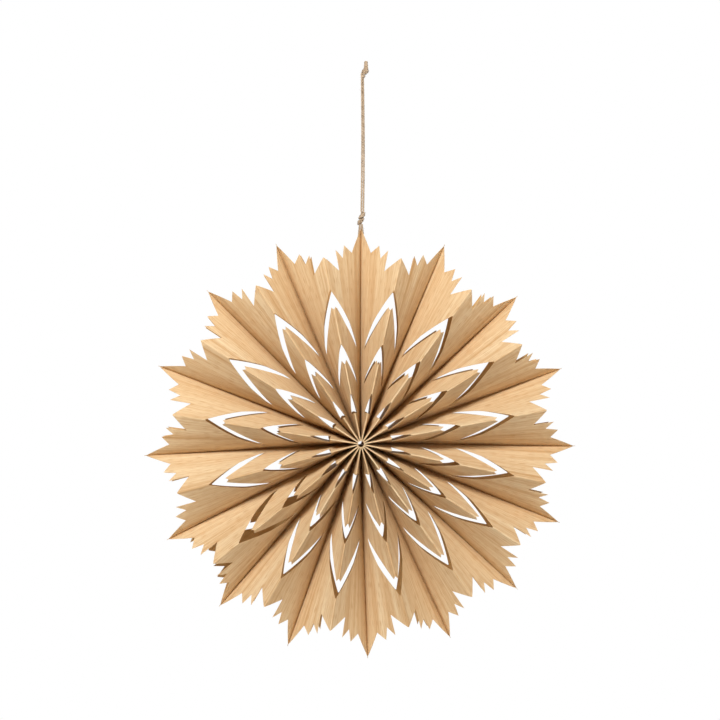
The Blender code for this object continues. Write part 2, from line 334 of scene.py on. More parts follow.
# %% Hairs
def set_hairs(tree, given, route):
    """Thin bent fibres at even steps along the route, each turned and sized at random."""
    length = add_node(tree, "GeometryNodeCurveLength", {0: route}).outputs[0]
    count = {0: length, 1: given["Hairs per Metre"]}
    count = add_node(tree, MATH, count, operation="MULTIPLY").outputs[0]
    spots = {"Curve": route, "Count": count}
    spots = add_node(tree, "GeometryNodeCurveToPoints", spots, mode="COUNT").outputs[0]
    half = add_node(tree, MATH, {0: given["Hair Length"], 1: 0.5}, operation="MULTIPLY").outputs[0]
    middle = add_node(tree, "ShaderNodeCombineXYZ", {"Y": half, "Z": half}).outputs[0]
    end = add_node(tree, "ShaderNodeCombineXYZ", {"Z": given["Hair Length"]}).outputs[0]
    bend = {"Resolution": 5, "Start": (0.0, 0.0, 0.0), "Middle": middle, "End": end}
    bend = add_node(tree, "GeometryNodeCurveQuadraticBezier", bend).outputs[0]
    thin = {"Resolution": 3, "Radius": given["Hair Radius"]}
    thin = add_node(tree, "GeometryNodeCurvePrimitiveCircle", thin).outputs[0]
    hair = add_node(tree, "GeometryNodeCurveToMesh", {"Curve": bend, "Profile Curve": thin}).outputs[0]
    any_way = {"Min": (0.0, 0.0, 0.0), "Max": (math.tau, math.tau, math.tau), "Seed": given["Seed"]}
    any_way = add_node(tree, "FunctionNodeRandomValue", any_way, data_type="FLOAT_VECTOR").outputs[0]
    any_size = {2: SHORTEST_HAIR, 3: 1.0, "Seed": given["Seed"]}
    any_size = add_node(tree, "FunctionNodeRandomValue", any_size, data_type="FLOAT").outputs[1]
    hairs = {"Points": spots, "Instance": hair, "Rotation": any_way, "Scale": any_size}
    return add_node(tree, "GeometryNodeInstanceOnPoints", hairs).outputs[0]


print(round(HAIRS_PER_METRE), "hairs to a metre, up to", round(1000 * HAIR_LENGTH, 1), "mm long")

# %% Rule for laid twine
def laid_twine():
    tree, given, result = new_rule("laid twine", TWINE_SIZES)
    route = add_node(tree, "GeometryNodeMeshToCurve", {0: given["Geometry"]}).outputs[0]
    fine = {"Curve": route, "Length": given["Step"]}
    route = add_node(tree, "GeometryNodeResampleCurve", fine, mode="LENGTH").outputs[0]
    walked = add_node(tree, "GeometryNodeSplineParameter").outputs["Length"]
    wound = wind_plies(tree, given, route, walked)
    joined = add_node(tree, "GeometryNodeJoinGeometry")
    tree.links.new(ply_tubes(tree, given, wound, walked), joined.inputs[0])
    tree.links.new(set_hairs(tree, given, route), joined.inputs[0])
    real = add_node(tree, "GeometryNodeRealizeInstances", {0: joined.outputs[0]}).outputs[0]
    real = add_node(tree, "GeometryNodeSetShadeSmooth", {"Geometry": real}).outputs[0]
    done = add_node(tree, "GeometryNodeSetMaterial", {"Geometry": real, "Material": jute}).outputs[0]
    tree.links.new(done, result["Geometry"])
    return tree


TWINE_RULE = laid_twine()


def lay_twine(name, routes, **sizes):
    """Twine along the routes, as one plain mesh object."""
    points = []
    edges = []
    for route in routes:
        edges += [(len(points) + i, len(points) + i + 1) for i in range(len(route) - 1)]
        points += route
    line = bpy.data.meshes.new(name)
    line.from_pydata(points, edges, [])
    return apply_rule(name, line, TWINE_RULE, {**TWINE_SIZES, **sizes})


print("the twine rule has", len(TWINE_RULE.nodes), "nodes")

# %% [markdown]
# ## Hanging loop
# The two strands between the knots are the star's free cord, and the picture shows them from end to end:
# about 130 mm. They hang straight under the star's weight, sway a little and turn an eighth of the way round
# each other. The route is the CAD one, with both ends run a little way into the knots, so that no gap shows
# where the twine goes in.

# %% Strands
SIDES = (("left", -1), ("right", 1))
STRAND_SPACING = 0.0019
STRAND_SWAY = 0.0006
STRAND_TWIST = math.radians(45)
STRAND_POINTS = 30
INTO_KNOT = 0.0010
UPPER_KNOT_FOOT = 0.0014
UPPER_KNOT_HEIGHT = 0.0066
UPPER_KNOT_WIDTH = 0.0072
UPPER_KNOT_SIDE = 0.0026


def strand_route(side):
    """From the underside of the upper knot down to the lower one."""
    strand_x = side * STRAND_SPACING / 2 * math.cos(STRAND_TWIST)
    off_knot = UPPER_KNOT_SIDE - strand_x - TWINE_DIAMETER / 2
    knot_curve = 1 - math.sqrt(1 - (2 * off_knot / UPPER_KNOT_WIDTH) ** 2)
    start = UPPER_KNOT_FOOT + knot_curve * UPPER_KNOT_HEIGHT / 2 - KNOT_GAP
    points = []
    for step in range(STRAND_POINTS):
        share = step / (STRAND_POINTS - 1)
        turn = STRAND_TWIST * (1 - share)
        x = STRAND_SWAY * math.sin(math.pi * share) + side * STRAND_SPACING / 2 * math.cos(turn)
        y = side * STRAND_SPACING / 2 * math.sin(turn)
        points.append(Vector((x, y, start - share * (start + STRAND_DROP))))
    first = points[0] + Vector((0.0, 0.0, INTO_KNOT))
    last = points[-1] - Vector((0.0, 0.0, INTO_KNOT))
    return [first, *points, last]


strands = {}
for seed, (name, side) in enumerate(SIDES, 1):
    strands[name] = lay_twine(f"jute_strand_{name}", [strand_route(side)], Seed=seed)
    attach(strands[name], "twine")
    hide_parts(f"twine_strand_{name}")
    print(strands[name].name, len(strands[name].data.polygons), "faces")

# %% [markdown]
# ## Knots
# Both knots are overhand knots in the doubled twine. What shows is the doubled twine wound slantwise round
# itself, so each knot is made as two strands wound side by side about a core of two more. A full knot could
# be traced in space, but it would show the same wraps at this size. The picture shows both knots leaning,
# and so do these. Under the upper knot a last, narrow wrap makes a neck round the strands.

# %% Knots
UPPER_KNOT_LEAN = math.tan(math.radians(12))
UPPER_KNOT_TURNS = 1.6
NECK_SIDE = 0.0006
NECK_FOOT = -0.0020
NECK_HEIGHT = 0.0042
NECK_WIDTH = 0.0042
NECK_TURNS = 0.8
UPPER_WRAPS_APART = 0.5  # of a turn lies between the two strands of a wrap
LOWER_KNOT_SIDE = -0.0010
LOWER_KNOT_WIDTH = 0.0062
LOWER_KNOT_LEAN = math.tan(math.radians(16))
LOWER_KNOT_TURNS = 2.1
LOWER_WRAPS_APART = 0.35
WRAP_POINTS = 60
KNOT_TAPER = 0.12  # share of a full swell that is left off at either end of a knot
KNOT_BLUNTNESS = 0.7  # the lower this power, the blunter the ends


def wrap_routes(side, foot, height, width, turns, apart, lean):
    """Two strands wound side by side about a core of two more, from foot upwards."""
    rise = height - TWINE_DIAMETER
    low_z = foot + TWINE_DIAMETER / 2
    routes = []
    for start in (0.0, apart):
        wrap = []
        for step in range(WRAP_POINTS + 1):
            share = step / WRAP_POINTS
            angle = math.tau * (turns * share + start)
            swell = math.sin(math.pi * (KNOT_TAPER + (1 - 2 * KNOT_TAPER) * share)) ** KNOT_BLUNTNESS
            radius = swell * (width - TWINE_DIAMETER) / 2
            x = side + radius * math.cos(angle) + lean * (share - 0.5) * height
            wrap.append(Vector((x, radius * math.sin(angle), low_z + share * rise)))
        routes.append(wrap)
    for strand in (-1, 1):
        low = Vector((side + strand * STRAND_SPACING / 2 - lean * rise / 2, 0.0, low_z))
        routes.append([low, low + Vector((lean * rise, 0.0, rise))])
    return routes


upper_size = (UPPER_KNOT_SIDE, UPPER_KNOT_FOOT, UPPER_KNOT_HEIGHT, UPPER_KNOT_WIDTH)
neck_size = (NECK_SIDE, NECK_FOOT, NECK_HEIGHT, NECK_WIDTH)
lower_size = (LOWER_KNOT_SIDE, LOWER_KNOT_FOOT, LOWER_KNOT_HEIGHT, LOWER_KNOT_WIDTH)
upper_wraps = wrap_routes(*upper_size, UPPER_KNOT_TURNS, UPPER_WRAPS_APART, UPPER_KNOT_LEAN)
upper_wraps += wrap_routes(*neck_size, NECK_TURNS, UPPER_WRAPS_APART, UPPER_KNOT_LEAN)
lower_wraps = wrap_routes(*lower_size, LOWER_KNOT_TURNS, LOWER_WRAPS_APART, LOWER_KNOT_LEAN)
upper_knot = lay_twine("jute_upper_knot", upper_wraps, Seed=3)
lower_knot = lay_twine("jute_lower_knot", lower_wraps, Seed=4)
for piece, body, node in ((upper_knot, "twine", "upper_knot"), (lower_knot, "tip_loop", "lower_knot")):
    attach(piece, body)
    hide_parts(node)
    print(piece.name, len(piece.data.polygons), "faces")

# %% [markdown]
# ## Tip loop and cut ends
# Under the lower knot the twine goes down one side of the paper tip, through its hole and up the other side.
# Above the upper knot its two cut ends stand up and lean together. Twine opens where it turns sharply and
# frays where it is cut. Both could be modelled fibre by fibre, but the same rule with fatter plies, and more
# hairs on the ends, looks right at this size.

# %% Tip loop
LOOP_HALF_WIDTH = 0.0019
LOOP_TOP_HALF_WIDTH = 0.0010
LOOP_SIDE_POINTS = 6
LOOP_TURN_POINTS = 16
PULLED_OPEN = {"Ply Radius": 0.00054, "Ply Offset": 0.00048}


def loop_route():
    """Down one side of the paper tip, through its hole and up the other side."""
    foot = LOWER_KNOT_FOOT + INTO_KNOT
    turn_z = HOLE_Z + LOOP_HALF_WIDTH
    side = []
    for step in range(LOOP_SIDE_POINTS):
        share = step / LOOP_SIDE_POINTS
        ease = share * share * (3 - 2 * share)
        x = LOOP_TOP_HALF_WIDTH + ease * (LOOP_HALF_WIDTH - LOOP_TOP_HALF_WIDTH)
        side.append((x, foot + share * (turn_z - foot)))
    turn = []
    for step in range(LOOP_TURN_POINTS + 1):
        angle = math.pi * step / LOOP_TURN_POINTS
        turn.append((LOOP_HALF_WIDTH * math.cos(angle), turn_z - LOOP_HALF_WIDTH * math.sin(angle)))
    other = [(-x, z) for x, z in reversed(side)]
    return [Vector((HOLE_X + x, 0.0, z)) for x, z in (*side, *turn, *other)]


tip_loop = lay_twine("jute_tip_loop", [loop_route()], Seed=5, **PULLED_OPEN)
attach(tip_loop, "tip_loop")
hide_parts("tip_loop")
print(tip_loop.name, len(tip_loop.data.polygons), "faces")

# %% Cut ends
TAIL_LENGTH = 0.0062
TAIL_SIDE = 0.0008
TAIL_SPLAY = math.radians(-4)  # below 0, the ends lean together
TAIL_POINTS = 6
FRAYED = {"Ply Radius": 0.00062, "Ply Offset": 0.00062, "Hairs per Metre": 1200.0}


def tail_route(side):
    """From inside the upper knot straight up."""
    top = UPPER_KNOT_FOOT + UPPER_KNOT_HEIGHT
    start = Vector((UPPER_KNOT_SIDE + TAIL_SIDE + side * STRAND_SPACING / 2, 0.0, top - INTO_KNOT))
    way = Vector((side * math.sin(TAIL_SPLAY), 0.0, math.cos(TAIL_SPLAY)))
    reach = TAIL_LENGTH + INTO_KNOT
    return [start + way * (reach * step / TAIL_POINTS) for step in range(TAIL_POINTS + 1)]


tails = {}
for seed, (name, side) in enumerate(SIDES, 6):
    tails[name] = lay_twine(f"jute_tail_{name}", [tail_route(side)], Seed=seed, **FRAYED)
    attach(tails[name], "twine")
    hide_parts(f"twine_tail_{name}")
    print(tails[name].name, len(tails[name].data.polygons), "faces")

# %% [markdown]
# ## Cords
# Both strands leave the lower knot and end in the upper one, and twine this thin is limp.

# %% [markdown]
# ## Paper
# The paper looks like a thin wood veneer: pale straight grain, with darker streaks a millimetre or so wide
# that run the length of each pocket, and short dark pores. The pattern follows the sheet, so it reads the
# sheet's UV map, in metres. Stretched noise is enough for straight grain, and the colours between streaks
# stay close, as they do on the real one. Paper this thin also lets some light through, and gives it a warm
# tint, so a translucent shader is mixed in. Subsurface scattering could do that too, but it depends on the
# thickness of the mesh.

# %% Wood-grain paper finish
STREAK_WIDTH = 0.0010
STREAK_RUN = 0.110
BAND_WIDTH = 0.005
BAND_RUN = 0.30
BAND_SHARE = 0.46
PORE_WIDTH = 0.0006  # drawn wider than real pores, so that they show in the picture
PORE_RUN = 0.009
PORE_DARKNESS = 0.60
THROUGH_SHARE = 0.30  # of the light on either face goes into the paper


def wood_grain(name, pale, middle, dark):
    # Printed or veneered paper: straight pale grain under a dry, faintly silky surface
    made, tree, shader = new_material(name)
    uv = add_node(tree, "ShaderNodeUVMap", uv_map="UVMap").outputs[0]
    grain = []
    for width, run, detail in (
        (STREAK_WIDTH, STREAK_RUN, 3.0),
        (BAND_WIDTH, BAND_RUN, 2.0),
        (PORE_WIDTH, PORE_RUN, 0.0),
    ):
        size = {0: uv, 1: (1 / width, 1 / run, 1.0)}
        place = add_node(tree, "ShaderNodeVectorMath", size, operation="MULTIPLY").outputs[0]
        noise = {"Vector": place, "Scale": 1.0, "Detail": detail, "Roughness": 0.6}
        grain.append(add_node(tree, "ShaderNodeTexNoise", noise).outputs[0])
    streak, band, pore = grain
    tone = add_node(tree, "ShaderNodeMix", {0: BAND_SHARE, 2: streak, 3: band}).outputs[0]
    tones = add_node(tree, "ShaderNodeValToRGB", {0: tone})
    tones.color_ramp.elements[0].position = 0.31
    tones.color_ramp.elements[0].color = linear(dark)
    tones.color_ramp.elements[1].position = 0.67
    tones.color_ramp.elements[1].color = linear(pale)
    tones.color_ramp.elements.new(0.49).color = linear(middle)
    open_pore = {"Value": pore, "From Min": 0.56, "From Max": 0.72}
    open_pore = add_node(tree, "ShaderNodeMapRange", open_pore).outputs[0]
    share = add_node(tree, MATH, {0: open_pore, 1: PORE_DARKNESS}, operation="MULTIPLY").outputs[0]
    colour = {0: share, 6: tones.outputs[0], 7: linear(dark)}
    colour = add_node(tree, "ShaderNodeMix", colour, data_type="RGBA").outputs[2]
    tree.links.new(colour, shader.inputs["Base Color"])
    rough = {"Value": streak, "To Min": 0.70, "To Max": 0.55}
    rough = add_node(tree, "ShaderNodeMapRange", rough).outputs[0]
    tree.links.new(rough, shader.inputs["Roughness"])
    relief = {"Height": streak, "Strength": 0.25, "Distance": 0.00008}
    relief = add_node(tree, "ShaderNodeBump", relief).outputs[0]
    tree.links.new(relief, shader.inputs["Normal"])
    shader.inputs["Specular IOR Level"].default_value = 0.08
    through = add_node(tree, "ShaderNodeBsdfTranslucent", {"Color": linear("f0d8b0")}).outputs[0]
    paper = {0: THROUGH_SHARE, 1: shader.outputs[0], 2: through}
    paper = add_node(tree, "ShaderNodeMixShader", paper).outputs[0]
    tree.links.new(paper, tree.nodes["Material Output"].inputs["Surface"])
    return made


grain_face = wood_grain("wood_grain_paper_face", "f4e1bb", "e5c79b", "c89c69")
# The inside copy is the same paper painted darker and browner: painted shade for the pockets' dim insides.
grain_inside_painted_shade = wood_grain("wood_grain_paper_inside_painted_shade", "ddbf8e", "d2ae79", "bf955d")
print("made", grain_face.name, "and", grain_inside_painted_shade.name)

# %% [markdown]
# ## Cut sheet
# Every pocket is one sheet, folded flat and cut through in the stack, so its four half sides carry the same
# cuts. The cuts are written as they look from the front on the opened star: shares of the length from the hub
# and shares across from the glued band to the crease. A straight cut could be drawn on a flat half side with
# a few corners, but the paper has to bend, so the half side is filled with small triangles. The closed end
# is trimmed a little, which leaves a small hole at the hub.

# %% Cuts
RIM_TEETH = (
    (0.990, 0.00), (0.876, 0.24), (0.910, 0.43), (0.850, 0.49), (0.887, 0.66), (0.790, 0.63), (0.850, 1.00),
)
OUTER_SLOT = (
    (0.700, 1.00), (0.557, 0.48), (0.467, 0.24), (0.425, 0.18), (0.540, 0.64), (0.622, 0.94), (0.610, 1.00),
)
INNER_SLOT = (
    (0.447, 1.00), (0.423, 0.87), (0.305, 0.36), (0.276, 0.27),
    (0.262, 0.26), (0.317, 0.58), (0.375, 0.88), (0.356, 1.00),
)
HUB_SLOT = (
    (0.220, 1.00), (0.130, 0.56), (0.132, 1.00),
)
HUB_TRIM = 0.0007
BOW = 0.80  # 0 is a flat half side, and 1 leaves its glued band straight on and bends like a springboard
HALVINGS = 40


def seen_share(paper_share):
    """The share across that the eye sees, of a share across the bent paper."""
    bent = paper_share * paper_share * (3 - paper_share) / 2
    return paper_share + BOW * (bent - paper_share)


def paper_share(seen):
    """The share across the bent paper, of a share across that the eye sees, found by halving."""
    if seen in (0.0, 1.0):
        return seen
    low, high = 0.0, 1.0
    for _ in range(HALVINGS):
        middle = (low + high) / 2
        if seen_share(middle) < seen:
            low = middle
        else:
            high = middle
    return (low + high) / 2


print("seen from the front, the middle of a half side is", round(seen_share(0.5), 2), "across")

# %% Cut half side
SHEET_STEP = 0.0036
EDGE_CLEARANCE = 0.6  # of a step is kept free of inner points along the cuts


def half_side():
    """Outline and inner points, as (metres along, share across the paper), and the triangles between."""
    hub_share = HUB_TRIM / POCKET_LENGTH
    corners = [(hub_share, 0.0), *RIM_TEETH, *OUTER_SLOT, *INNER_SLOT, *HUB_SLOT, (hub_share, 1.0)]
    outline = []
    for (along, seen), (next_along, next_seen) in zip(corners, [*corners[1:], corners[0]]):
        reach = math.hypot((next_along - along) * POCKET_LENGTH, (next_seen - seen) * PANEL_WIDTH)
        steps = max(1, math.ceil(reach / SHEET_STEP))
        for step in range(steps):
            share = step / steps
            place = along + share * (next_along - along)
            outline.append((place * POCKET_LENGTH, paper_share(seen + share * (next_seen - seen))))
    flat = [Vector((along, across * PANEL_WIDTH)) for along, across in outline]
    ring = [(i, (i + 1) % len(flat)) for i in range(len(flat))]
    rows = int(POCKET_LENGTH / SHEET_STEP)
    columns = int(PANEL_WIDTH / SHEET_STEP)
    for row in range(1, rows):
        for column in range(1, columns):
            point = Vector(((row + 0.5 * (column % 2)) * SHEET_STEP, column * PANEL_WIDTH / columns))
            clear = min((point - edge).length for edge in flat[:len(ring)])
            if clear > EDGE_CLEARANCE * SHEET_STEP and point.x > flat[0].x:
                flat.append(point)
    filled = delaunay_2d_cdt(flat, ring, [], 1, 1e-9)
    triangles = [[filled[3][corner][0] for corner in triangle] for triangle in filled[2]]
    inner = [(point.x, point.y / PANEL_WIDTH) for point in flat[len(ring):]]
    return outline, inner, triangles


outline, inner, triangles = half_side()
print("half side:", len(outline), "points on its edge,", len(inner), "inside,", len(triangles), "triangles")

# %% [markdown]
# ## One sheet, laid flat
# The four half sides lie in a row, as on the sheet before it is folded: half a glued side, a crease, the
# other glued side, a crease, and the rest of the first side. The points keep what the opening rule needs: how
# far along they are, how far across, on which side and on which face. The UV map is the flat sheet itself, in
# metres, so that the grain runs on over the creases. Each pocket takes its own part of the grain.

# %% Flat sheet
GRAIN_SHIFT = 0.37


def flat_sheet(number):
    """The cut sheet of one pocket, x round it and z along it, with what the opening rule reads."""
    work = bmesh.new()
    layers = {name: work.verts.layers.float.new(name) for name in ("along", "across", "side", "face")}
    chart = work.loops.layers.uv.new("UVMap")
    starts = {
        (1, -1): GLUED_HALF_WIDTH,
        (-1, -1): GLUED_HALF_WIDTH + 2 * PANEL_WIDTH + 2 * CREASE_HALF,
        (-1, 1): 3 * GLUED_HALF_WIDTH + 2 * PANEL_WIDTH + 2 * CREASE_HALF,
        (1, 1): 3 * GLUED_HALF_WIDTH + 4 * PANEL_WIDTH + 4 * CREASE_HALF,
    }

    def add_point(side, face, along, across, x):
        point = work.verts.new((x, 0.0, along))
        for name, value in (("along", along), ("across", across), ("side", side), ("face", face)):
            point[layers[name]] = value
        return point

    def add_face(points, behind=()):
        made = work.faces.new(points)
        made.smooth = True
        for loop in made.loops:
            x = -GLUED_HALF_WIDTH if loop.vert in behind else loop.vert.co.x
            loop[chart].uv = (x + number * GRAIN_SHIFT, loop.vert.co.z)

    # The four half sides
    quarter = {}
    for (side, face), start in starts.items():
        way = 1 if side * face < 0 else -1
        points = []
        for along, across in (*outline, *inner):
            points.append(add_point(side, face, along, across, start + way * across * PANEL_WIDTH))
        for triangle in triangles:
            add_face([points[corner] for corner in triangle])
        quarter[side, face] = points

    # The glued bands, each with its tip
    band = [i for i, (along, across) in enumerate(outline) if across == 0.0]
    for side, x in ((1, 0.0), (-1, starts[-1, -1] + GLUED_HALF_WIDTH)):
        front, back = quarter[side, -1], quarter[side, 1]
        tip = add_point(side, 0, POCKET_LENGTH, 0.0, x)
        behind = set(back) if side > 0 else ()
        for i, j in zip(band, band[1:]):
            add_face((front[i], front[j], back[j], back[i]), behind)
        add_face((front[band[-1]], tip, back[band[-1]]), behind)

    # The creases, and the closed end at the hub
    hub_along = outline[0][0]
    hub_end = [i for i, (along, across) in enumerate(outline) if along == hub_along and across > 0.0]
    hub_end.append(0)
    for i in range(len(outline) - 1):
        if outline[i][1] == 1.0 and outline[i + 1][1] == 1.0:
            for face in (-1, 1):
                left, right = quarter[-1, face], quarter[1, face]
                add_face((left[i], left[i + 1], right[i + 1], right[i]))
    for face in (-1, 1):
        left, right = quarter[-1, face], quarter[1, face]
        for i, j in zip(hub_end, hub_end[1:]):
            add_face((left[i], left[j], right[j], right[i]))
    add_face((quarter[-1, -1][0], quarter[-1, 1][0], quarter[1, 1][0], quarter[1, -1][0]))

    sheet = bpy.data.meshes.new(f"sheet_{number:02d}")
    work.to_mesh(sheet)
    work.free()
    sheet.materials.append(grain_face)
    # The second finish is the darker inside copy, which is painted shade.
    sheet.materials.append(grain_inside_painted_shade)
    return sheet


trial = flat_sheet(1)
print("flat sheet:", len(trial.vertices), "points", len(trial.polygons), "faces")
bpy.data.meshes.remove(trial)

# %% [markdown]
# ## Opening rule
# A pocket's two sides are held at their glued bands, on two planes that meet at the hub. Between a band and a
# crease the paper spans to the pocket's middle plane, and because it keeps its width, it stands up less where
# it spans further: the creases are deep at the hub and shallow at the rim. The paper leaves its band straight
# on and bends over like a springboard. That is a rule, so it is a node tree that moves every point of the
# flat sheet. Two sizes differ from the CAD model on purpose: the papers lie closer to their glue line, so
# that no light gets through there, and their folds are as round as folded card is.

# %% Sizes of an open pocket
PAPER_INSET = 0.00012
FOLD_HALF = 0.0004
LEAST_CREASE_REACH = 0.004

POCKET_SIZES = {
    "Half Angle": NARROWEST,
    "Middle Angle": 0.0,
    "Hub Start": HUB_START,
    "Hub Side": STAR_SIDE,
    "Hub Height": HUB_Z,
    "Panel Width": PANEL_WIDTH,
    "Glued Half Width": GLUED_HALF_WIDTH,
    "Side Inset": PAPER_INSET,
    "Crease Half": FOLD_HALF,
    "Least Crease Reach": LEAST_CREASE_REACH,
    "Bow": BOW,
    "Front Lean": 0.0,
    "Back Lean": 0.0,
}
print("a pocket has", len(POCKET_SIZES), "sizes")

# %% How the paper spans and bends
def paper_span(tree, given, reach):
    """How far the paper spans, square to the band's plane, from the band to the middle plane."""
    slope = add_node(tree, MATH, {0: given["Half Angle"]}, operation="TANGENT").outputs[0]
    wide = add_node(tree, MATH, {0: reach, 1: slope}, operation="MULTIPLY").outputs[0]
    cosine = add_node(tree, MATH, {0: given["Half Angle"]}, operation="COSINE").outputs[0]
    crease = add_node(tree, MATH, {0: given["Crease Half"], 1: cosine}, operation="DIVIDE").outputs[0]
    spare = add_node(tree, MATH, {0: crease, 1: given["Side Inset"]}, operation="ADD").outputs[0]
    span = add_node(tree, MATH, {0: wide, 1: spare}, operation="SUBTRACT").outputs[0]
    return add_node(tree, MATH, {0: span, 1: 0.0}, operation="MAXIMUM").outputs[0]


def crease_rise(tree, given, span):
    """How far the crease then stands out from the band."""
    paper = {0: given["Panel Width"], 1: given["Panel Width"]}
    paper = add_node(tree, MATH, paper, operation="MULTIPLY").outputs[0]
    square = add_node(tree, MATH, {0: span, 1: span}, operation="MULTIPLY").outputs[0]
    left = add_node(tree, MATH, {0: paper, 1: square}, operation="SUBTRACT").outputs[0]
    least = {0: given["Least Crease Reach"], 1: given["Least Crease Reach"]}
    least = add_node(tree, MATH, least, operation="MULTIPLY").outputs[0]
    left = add_node(tree, MATH, {0: left, 1: least}, operation="MAXIMUM").outputs[0]
    return add_node(tree, MATH, {0: left}, operation="SQRT").outputs[0]


def springboard(tree, given, across):
    """The share that the eye sees, of a share across the paper: the same sum as in seen_share."""
    square = add_node(tree, MATH, {0: across, 1: across}, operation="MULTIPLY").outputs[0]
    rest = add_node(tree, MATH, {0: 3.0, 1: across}, operation="SUBTRACT").outputs[0]
    bent = add_node(tree, MATH, {0: square, 1: rest}, operation="MULTIPLY").outputs[0]
    bent = add_node(tree, MATH, {0: bent, 1: 0.5}, operation="MULTIPLY").outputs[0]
    return add_node(tree, "ShaderNodeMix", {0: given["Bow"], 2: across, 3: bent}).outputs[0]


print("paper as wide as", round(1000 * PANEL_WIDTH), "mm spans each half side")

# %% Rule for an open pocket
def open_pocket():
    tree, given, result = new_rule("open pocket", POCKET_SIZES)
    along, across, side, face = (
        add_node(tree, "GeometryNodeInputNamedAttribute", {"Name": name}, data_type="FLOAT").outputs[0]
        for name in ("along", "across", "side", "face")
    )
    reach = add_node(tree, MATH, {0: along, 1: given["Hub Start"]}, operation="ADD").outputs[0]
    span = paper_span(tree, given, reach)
    rise = crease_rise(tree, given, span)
    over = springboard(tree, given, across)

    # The point on its side, then turned with the side to its glue line
    inward = {0: over, 1: span, 2: given["Side Inset"]}
    inward = add_node(tree, MATH, inward, operation="MULTIPLY_ADD").outputs[0]
    inward = add_node(tree, MATH, {0: inward, 1: side}, operation="MULTIPLY").outputs[0]
    inward = add_node(tree, MATH, {0: inward, 1: -1.0}, operation="MULTIPLY").outputs[0]
    out = {0: across, 1: rise, 2: given["Glued Half Width"]}
    out = add_node(tree, MATH, out, operation="MULTIPLY_ADD").outputs[0]
    out = add_node(tree, MATH, {0: out, 1: face}, operation="MULTIPLY").outputs[0]
    point = add_node(tree, "ShaderNodeCombineXYZ", {"X": inward, "Y": out, "Z": reach}).outputs[0]
    turn = add_node(tree, MATH, {0: side, 1: given["Half Angle"]}, operation="MULTIPLY").outputs[0]
    turned = {"Vector": point, "Angle": turn}
    point = add_node(tree, "ShaderNodeVectorRotate", turned, rotation_type="Y_AXIS").outputs[0]

    # Creases that lean out of the middle plane, front and back each their own way
    back = add_node(tree, MATH, {0: face, 1: 0.5, 2: 0.5}, operation="MULTIPLY_ADD").outputs[0]
    lean = {0: back, 2: given["Front Lean"], 3: given["Back Lean"]}
    lean = add_node(tree, "ShaderNodeMix", lean).outputs[0]
    lean = add_node(tree, MATH, {0: lean, 1: over}, operation="MULTIPLY").outputs[0]
    lean = add_node(tree, MATH, {0: lean, 1: span}, operation="MULTIPLY").outputs[0]
    lean = add_node(tree, "ShaderNodeCombineXYZ", {"X": lean}).outputs[0]
    point = add_node(tree, "ShaderNodeVectorMath", {0: point, 1: lean}, operation="ADD").outputs[0]

    # The whole pocket to its place round the hub
    placed = {"Vector": point, "Angle": given["Middle Angle"]}
    point = add_node(tree, "ShaderNodeVectorRotate", placed, rotation_type="Y_AXIS").outputs[0]
    hub = {"X": given["Hub Side"], "Z": given["Hub Height"]}
    hub = add_node(tree, "ShaderNodeCombineXYZ", hub).outputs[0]
    point = add_node(tree, "ShaderNodeVectorMath", {0: point, 1: hub}, operation="ADD").outputs[0]
    opened = {"Geometry": given["Geometry"], "Position": point}
    opened = add_node(tree, "GeometryNodeSetPosition", opened).outputs[0]
    real = add_node(tree, "GeometryNodeRealizeInstances", {0: opened}).outputs[0]
    done = add_node(tree, "GeometryNodeSetMaterial", {"Geometry": real, "Material": grain_face}).outputs[0]
    tree.links.new(done, result["Geometry"])
    return tree


POCKET_RULE = open_pocket()
print("the pocket rule has", len(POCKET_RULE.nodes), "nodes")

# %% [markdown]
# ## Pockets
# Every sheet is opened by the rule, then gets its paper thickness. Solidify does that once the faces point
# outwards, and it gives the inner wall the inside finish: the same paper in a darker, browner copy, which is
# painted shade for the dim insides. The two pockets that meet at the hanging tip are punched for the twine.
# Real paper flattens when the fan folds, but these pieces are not squashed.

# %% Paper thickness and hanging hole
PAPER = 0.0002
SHARP_FOLD = math.radians(35)
HOLE_RADIUS = 0.0016


def bake(item):
    """Turns an object's modifiers into its plain mesh."""
    plain = plain_mesh(item)
    item.modifiers.clear()
    item.data = plain


def thicken(item):
    """Turns the faces outwards and gives them the paper's thickness."""
    work = bmesh.new()
    work.from_mesh(item.data)
    bmesh.ops.recalc_face_normals(work, faces=work.faces)
    front = min(work.faces, key=lambda face: face.calc_center_median().y)
    if front.normal.y > 0.0:
        bmesh.ops.reverse_faces(work, faces=work.faces)
    work.to_mesh(item.data)
    work.free()
    wall = item.modifiers.new("paper", "SOLIDIFY")
    wall.thickness = PAPER
    wall.offset = 0.0
    wall.use_even_offset = True
    # The inner wall takes the darker inside copy, which is painted shade.
    wall.material_offset = 1
    bake(item)
    item.data.set_sharp_from_angle(angle=SHARP_FOLD)


def punch(item, cutter):
    hole = item.modifiers.new("twine hole", "BOOLEAN")
    hole.operation = "DIFFERENCE"
    hole.object = cutter
    bake(item)


def hole_cutter():
    """A round bar across the hanging tip."""
    work = bmesh.new()
    ends = {"radius1": HOLE_RADIUS, "radius2": HOLE_RADIUS}
    bmesh.ops.create_cone(work, cap_ends=True, segments=24, depth=4 * HOLE_RADIUS, **ends)
    for point in work.verts:
        point.co = Vector((HOLE_X + point.co.z, point.co.y, HOLE_Z - point.co.x))
    bmesh.ops.recalc_face_normals(work, faces=work.faces)
    mesh = bpy.data.meshes.new("hole_cutter")
    work.to_mesh(mesh)
    work.free()
    return add_object("hole_cutter", mesh)


cutter = hole_cutter()
print("the hole is", round(2000 * HOLE_RADIUS, 1), "mm wide")

